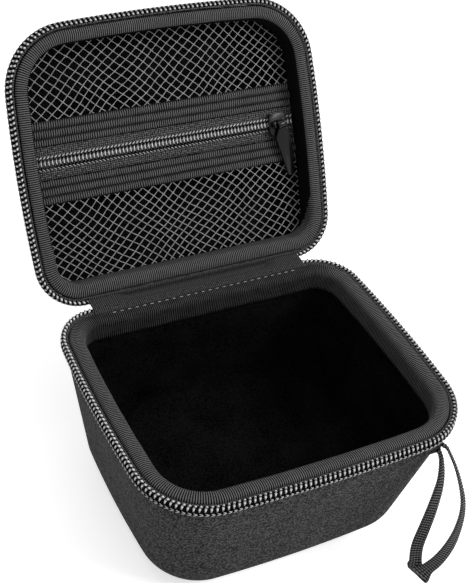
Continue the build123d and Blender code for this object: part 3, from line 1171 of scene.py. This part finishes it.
def net_point(x, y):
    """Place of a point of the stretched net, drawn a little out of true and sagging."""
    drift = noise.noise_vector(Vector((x, y, 0)) / NET_DRIFT_REACH) * NET_DRIFT
    shake = noise.noise_vector(Vector((x, y, 5)) / NET_SHAKE_REACH) * NET_SHAKE
    sag = NET_SAG * noise.noise(Vector((x / NET_SAG_REACH, y / NET_SAG_REACH, 9)))
    return Vector((x + drift.x + shake.x, y + drift.y + shake.y, -POCKET_DEPTH - 0.5 + sag))


def pocket_net(name, side):
    """Knotted diamond net between the band and the binding."""
    noise.seed_set(NET_SEED)
    width = sizes().net_cell / MM
    height = 0.85 * width
    near = POCKET_ZIP_Y + side * (POCKET_GAP + POCKET_TAPE + POCKET_BAND - NET_LAP)
    line = Outline(NET_INSET)
    far = (FRONT if side < 0 else BACK) - side * NET_INSET
    low, high = min(near, far), max(near, far)
    steps = 4 * round((high - low) / height)
    bundle = Bundle()
    reach = width * math.ceil(HALF_WIDTH / width + (high - low) / height)
    total = 0.0
    for lean in (-1, 1):
        for number in range(round(2 * reach / width)):
            start = -reach + number * width
            run = []
            for step in range(steps + 1):
                y = low + (high - low) * step / steps
                x = start + lean * (y - low) * width / height
                inside = abs(x) < line.half_width(y)
                if inside:
                    run.append(net_point(x, y))
                if run and (not inside or step == steps):
                    total += net_strand(bundle.bm, run)
                    bundle.mark(0)
                    run = []
    piece = finish_piece(bundle.gather(), f"pocket_{name}_net", [net_thread], rim_place("lid"))
    settle(piece, "lid", f"pocket_{name}_mesh")


def net_strand(bm, run):
    """One thread of the net, thicker at its knots; returns its length."""
    if len(run) < 3:
        return 0.0
    thread(bm, run, sizes().net_thread / MM / 2, 4, widen=lambda index: 1.6 if index % 2 == 0 else 1.0)
    return run_length(run)


# ---- Sliders ----


def slider_set(prefix, set_name):
    """A slider and its puller, with their edges rounded."""
    for name, part, edge in (("body", "slider", 0.28), ("pull_tab", "puller", 0.35)):
        node = f"{set_name}_{part}"
        node_copy(f"{prefix}_{name}", node, slider_paint, node, edge)


# ---- Wrist strap ----


def resample(line, step):
    """Points a step apart along a line, and its length."""
    lengths = [(a - b).length for a, b in zip(line, line[1:])]
    total = sum(lengths)
    count = 4 * round(total / step / 4)
    points, index, passed = [], 0, 0.0
    for number in range(count + 1):
        distance = min(total * number / count, total - 1e-6)
        while passed + lengths[index] < distance:
            passed += lengths[index]
            index += 1
        points.append(line[index].lerp(line[index + 1], (distance - passed) / lengths[index]))
    return points, total


def between(pairs, value):
    """Value of a line drawn through pairs of a place and a value."""
    for (low, first), (high, second) in zip(pairs, pairs[1:]):
        if value < high:
            share = max(0.0, (value - low) / (high - low))
            return first + (second - first) * share
    return pairs[-1][1]


def strap_widths(points):
    """Half-width of the webbing at each point: twisted at the rim, flat and folded over at the bottom."""
    face = camera_back()
    right, up = camera_level()
    half = sizes().strap_width / MM / 2
    turn = math.radians(STRAP_FOLD_TURN)
    crease = (math.cos(turn) * right - math.sin(turn) * up) * STRAP_FOLD_LENGTH / 2
    lowest = (STRAP_ROUTE[STRAP_FOLD] + STRAP_ROUTE[STRAP_FOLD + 1]) / 2
    fold = min(range(len(points)), key=lambda index: (points[index] - lowest).length)
    last = len(points) - 1
    step = (points[1] - points[0]).length
    widths = []
    for index, point in enumerate(points):
        ahead = heading(points, index)
        going_down = index < fold
        level = face.cross(ahead).normalized() * (1 if going_down else -1)
        twist = math.radians(between(STRAP_TWIST_DOWN if going_down else STRAP_TWIST_UP, point.z))
        width = (math.cos(twist) * level - math.sin(twist) * face).normalized() * half
        width = width.lerp(crease, smooth_step(1 - abs(index - fold) * step / STRAP_FOLD_RUN))
        sewn = 1 - min(1.0, min(index, last - index) * step / STRAP_SEWN_RUN)
        widths.append(width.lerp(Vector((half * STRAP_SEWN_SHARE, 0, 0)), sewn))
    return widths


def wrist_strap():
    """Loop of cross-ribbed webbing, folded over at the bottom and sewn into its anchor at both ends."""
    points, total = resample(smooth_line(STRAP_ROUTE, 12), sizes().strap_rib / MM / 4)
    widths = strap_widths(points)
    thick = STRAP_THICKNESS / 2
    rows = [(-1.0, 0.0), (-0.93, 1.0), (-0.5, 1.0), (0.0, 0.8), (0.5, 1.0), (0.93, 1.0)]
    rows += [(-across, -up) for across, up in rows]

    def place(column, row):
        across, up = rows[row % len(rows)]
        normal = heading(points, column).cross(widths[column]).normalized()
        half = thick - STRAP_RIB_DEPTH * (1 - rib_lift(column))
        return points[column] + widths[column] * across + normal * up * half

    uv_size = (total * MM, 2 * sizes().strap_width)
    columns = len(points) - 1
    # rib_lift as tone: painted light on the cross ribs' crests, painted shade between them.
    piece = grid_piece("wrist_strap_webbing", strap_webbing, columns, len(rows), place, uv_size, rib_lift)
    settle(piece, "base", "wrist_strap")
    path = [point * MM for point in points]
    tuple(path[0])


def strap_anchor():
    """Cloth tab that holds both ends of the strap."""
    node_copy("strap_anchor_tab", "strap_anchor", shell_weave, "base", 0.4)


# ---- Camera and stage ----


def camera_back():
    """Direction from the case to the camera."""
    azimuth, elevation = math.radians(CAMERA_AZIMUTH), math.radians(CAMERA_ELEVATION)
    level = math.cos(elevation)
    return Vector((math.sin(azimuth) * level, -math.cos(azimuth) * level, math.sin(elevation)))


def camera_level():
    """Directions to the right and up as the camera sees them."""
    azimuth, roll = math.radians(CAMERA_AZIMUTH), math.radians(CAMERA_ROLL)
    level = Vector((math.cos(azimuth), math.sin(azimuth), 0))
    upright = camera_back().cross(level)
    right = math.cos(roll) * level + math.sin(roll) * upright
    return right, camera_back().cross(right)


def camera():
    """Camera above the front left corner, turned a little about its own line."""
    back = camera_back()
    right, up = camera_level()
    place = (CAMERA_TARGET + back * CAMERA_DISTANCE) * MM
    data = bpy.data.cameras.new("case_camera")
    data.lens = CAMERA_LENS
    data.sensor_width = 36
    data.clip_start = 0.01
    data.clip_end = 20
    made = add_object("case_camera", data)
    made.matrix_world = Matrix.Translation(place) @ Matrix((right, up, back)).transposed().to_4x4()
    bpy.context.scene.camera = made


def lamp(name, place, size, power):
    """Soft square lamp that faces the case."""
    data = bpy.data.lights.new(name, "AREA")
    data.shape = "SQUARE"
    data.size = size
    data.energy = power
    made = add_object(name, data)
    made.location = place
    made.rotation_euler = (LAMP_TARGET - Vector(place)).to_track_quat("-Z", "Y").to_euler()


def floor_paint(name):
    """White ground that glows a little to the camera and in gloss."""
    ground = Finish(name, colours().backdrop, 0.9)
    ground.shade(ground.noise("Object", 400), 1.0, 1.02)
    path = ground.node("ShaderNodeLightPath")
    seen = ground.math("MAXIMUM", path.outputs["Is Camera Ray"], path.outputs["Is Glossy Ray"])
    ground.set("Emission Color", WHITE)
    glow = ground.math("MULTIPLY", seen, FLOOR_GLOW)
    ground.tree.links.new(glow, ground.shader.inputs["Emission Strength"])
    return ground.material


def floor():
    """Wide floor that looks white to the camera and keeps the case's shadow."""
    bm = bmesh.new()
    bmesh.ops.create_grid(bm, x_segments=1, y_segments=1, size=6000)
    finish_piece(bm, "floor", [floor_paint])


def surroundings():
    """White backdrop for the camera and for gloss, and a plain soft light for the rest."""
    world = bpy.data.worlds.new("studio")
    bpy.context.scene.world = world
    world.use_nodes = True
    sky = Nodes(world.node_tree)
    background = sky.tree.nodes["Background"]
    background.inputs["Color"].default_value = WHITE
    path = sky.node("ShaderNodeLightPath")
    mirrored = sky.math("MAXIMUM", path.outputs["Is Glossy Ray"], path.outputs["Is Transmission Ray"])
    seen = sky.math("ADD", path.outputs["Is Camera Ray"], mirrored, use_clamp=True)
    strength = sky.node("ShaderNodeMapRange", [("Value", seen), ("To Min", SKY_LIGHT), ("To Max", 1.0)])
    sky.tree.links.new(strength.outputs[0], background.inputs["Strength"])


# ---- Operators and panel ----


class CASE_OT_camera(bpy.types.Operator):
    """Place the camera"""

    bl_idname = "case.camera"
    bl_label = "Camera"

    def execute(self, context):
        camera()
        return {"FINISHED"}


class CASE_OT_strap(bpy.types.Operator):
    """Make the wrist strap and its anchor"""

    bl_idname = "case.strap"
    bl_label = "Wrist strap"

    def execute(self, context):
        wrist_strap()
        strap_anchor()
        return {"FINISHED"}


class CASE_OT_shells(bpy.types.Operator):
    """Cover the shells with cloth, inside and out"""

    bl_idname = "case.shells"
    bl_label = "Shells"

    def execute(self, context):
        for body in ("base", "lid"):
            node_copy(f"{body}_outer_cloth", f"{body}_shell", shell_weave, body)
            node_copy(f"{body}_inner_cloth", f"{body}_lining", lining_nap, body)
        return {"FINISHED"}


class CASE_OT_bindings(bpy.types.Operator):
    """Make the ribbed bindings of both rims"""

    bl_idname = "case.bindings"
    bl_label = "Rim bindings"

    def execute(self, context):
        leg = LINING_INSET + LINING
        binding("base_rim_binding", "base", leg, leg + BASE_LEG, BASE_LEG_DEPTH, False)
        leg = LID_LINING_INSET + LINING
        binding("lid_rim_binding", "lid", leg, leg + LID_LEG, POCKET_DEPTH, True)
        return {"FINISHED"}


class CASE_OT_main_zip(bpy.types.Operator):
    """Make both halves of the main zip"""

    bl_idname = "case.main_zip"
    bl_label = "Main zip"

    def execute(self, context):
        for body in ("base", "lid"):
            zip_tape(f"{body}_zip_tape", body)
            main_coil(f"{body}_zip_coil", body)
        return {"FINISHED"}


class CASE_OT_hinge(bpy.types.Operator):
    """Make the cloth of the hinge"""

    bl_idname = "case.hinge"
    bl_label = "Hinge"

    def execute(self, context):
        hinge()
        return {"FINISHED"}


class CASE_OT_pocket(bpy.types.Operator):
    """Make the pocket's bands, tapes, zip and net"""

    bl_idname = "case.pocket"
    bl_label = "Mesh pocket"

    def execute(self, context):
        for name, side in POCKET_SIDES:
            pocket_band(name, side)
            pocket_tape(name, side)
            pocket_coil(name, side)
            pocket_net(name, side)
        return {"FINISHED"}


class CASE_OT_sliders(bpy.types.Operator):
    """Make the zips' sliders and pullers"""

    bl_idname = "case.sliders"
    bl_label = "Sliders"

    def execute(self, context):
        for set_name in ("pocket", "left", "right"):
            slider_set(f"{set_name}_zip", set_name)
        return {"FINISHED"}


class CASE_OT_stage(bpy.types.Operator):
    """Set the floor, the lamps and the white surroundings"""

    bl_idname = "case.stage"
    bl_label = "Stage"

    def execute(self, context):
        floor()
        surroundings()
        for name, place, size, power in LAMPS:
            lamp(name, place, size, power)
        context.scene.view_settings.view_transform = "Standard"
        return {"FINISHED"}


OPERATORS = (
    CASE_OT_camera,
    CASE_OT_strap,
    CASE_OT_shells,
    CASE_OT_bindings,
    CASE_OT_main_zip,
    CASE_OT_hinge,
    CASE_OT_pocket,
    CASE_OT_sliders,
    CASE_OT_stage,
)


class CASE_PT_panel(bpy.types.Panel):
    """Lists the case's sizes, colours and pieces"""

    bl_idname = "CASE_PT_panel"
    bl_label = "Shaver case"
    bl_space_type = "VIEW_3D"
    bl_region_type = "UI"
    bl_category = "Case"

    def draw(self, context):
        layout = self.layout
        for group in (context.scene.case_sizes, context.scene.case_colours):
            box = layout.box()
            for name in group.bl_rna.properties.keys():
                if name not in ("rna_type", "name"):
                    box.prop(group, name)
        for operator in OPERATORS:
            layout.operator(operator.bl_idname)


CLASSES = (CaseSizes, CaseColours, *OPERATORS, CASE_PT_panel)


def register():
    """Registers the classes and the scene's settings."""
    for made in CLASSES:
        bpy.utils.register_class(made)
    bpy.types.Scene.case_sizes = PointerProperty(type=CaseSizes)
    bpy.types.Scene.case_colours = PointerProperty(type=CaseColours)


def unregister():
    """Removes the classes and the scene's settings."""
    del bpy.types.Scene.case_sizes
    del bpy.types.Scene.case_colours
    for made in reversed(CLASSES):
        bpy.utils.unregister_class(made)


def main():
    """Makes every piece in order."""
    register()
    bpy.ops.case.camera()
    bpy.ops.case.strap()
    bpy.ops.case.shells()
    bpy.ops.case.bindings()
    bpy.ops.case.main_zip()
    bpy.ops.case.hinge()
    bpy.ops.case.pocket()
    bpy.ops.case.sliders()
    bpy.ops.case.stage()


if __name__ == "__main__":
    main()
